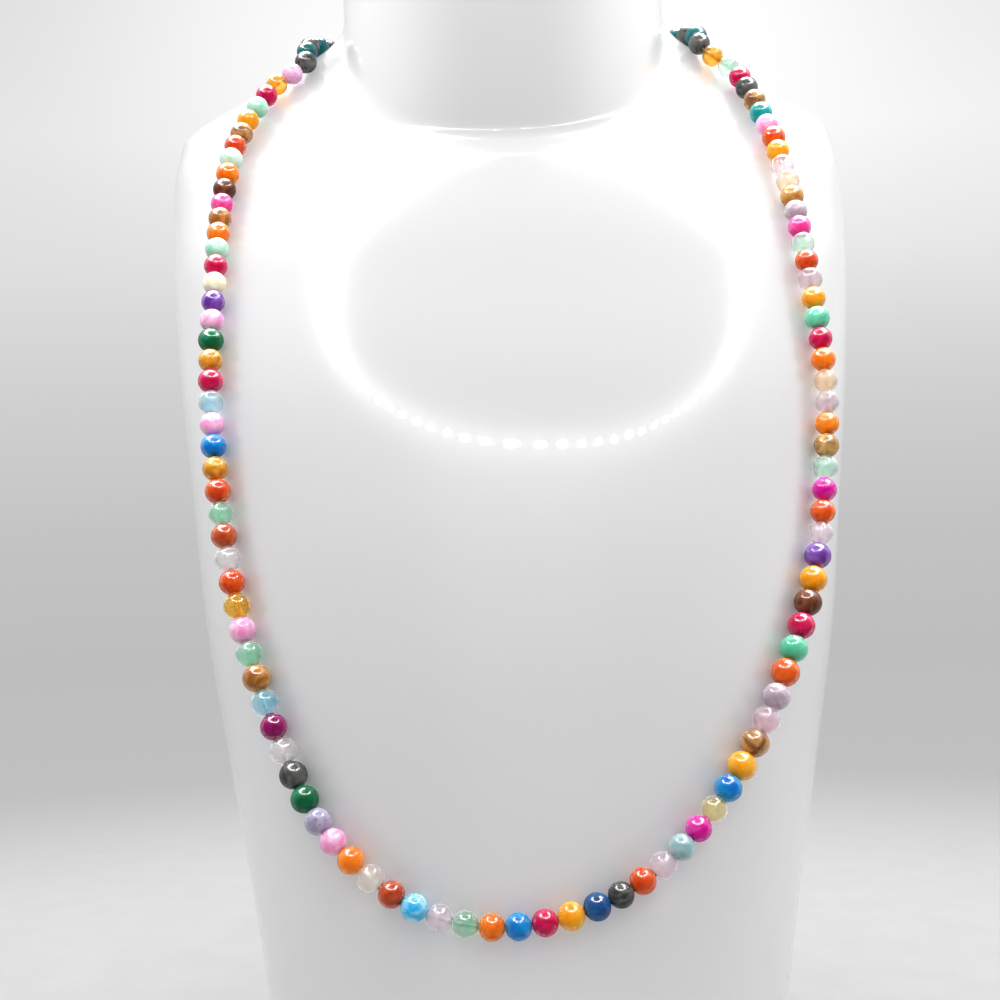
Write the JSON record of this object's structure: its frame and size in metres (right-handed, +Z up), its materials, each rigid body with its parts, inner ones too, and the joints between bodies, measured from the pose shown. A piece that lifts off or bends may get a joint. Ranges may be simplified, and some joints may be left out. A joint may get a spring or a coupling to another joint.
{
  "type": "beaded necklace on a neck bust",
  "caption": "Long necklace of small round polished stone beads in mixed bright colours, hung over the shoulders of a plain glossy white neck bust with a flat base.",
  "frame": {"origin": "middle of the outer box in X and Y, at the height of the base", "axes": "+Z up through the neck, the chest faces -Y, +X to the right of the picture"},
  "size_m": [0.191, 0.1882, 0.31],
  "materials": {
    "bust": "smooth glossy white plastic",
    "beads": "polished dyed agate, each bead its own colour, some clouded, banded or clear",
    "clasp": "polished silver-coloured metal"
  },
  "bodies": {
    "root": {"neck_bust": "bust", "bead_strand_left": "beads", "bead_strand_right": "beads", "clasp": "clasp"}
  },
  "joints": []
}
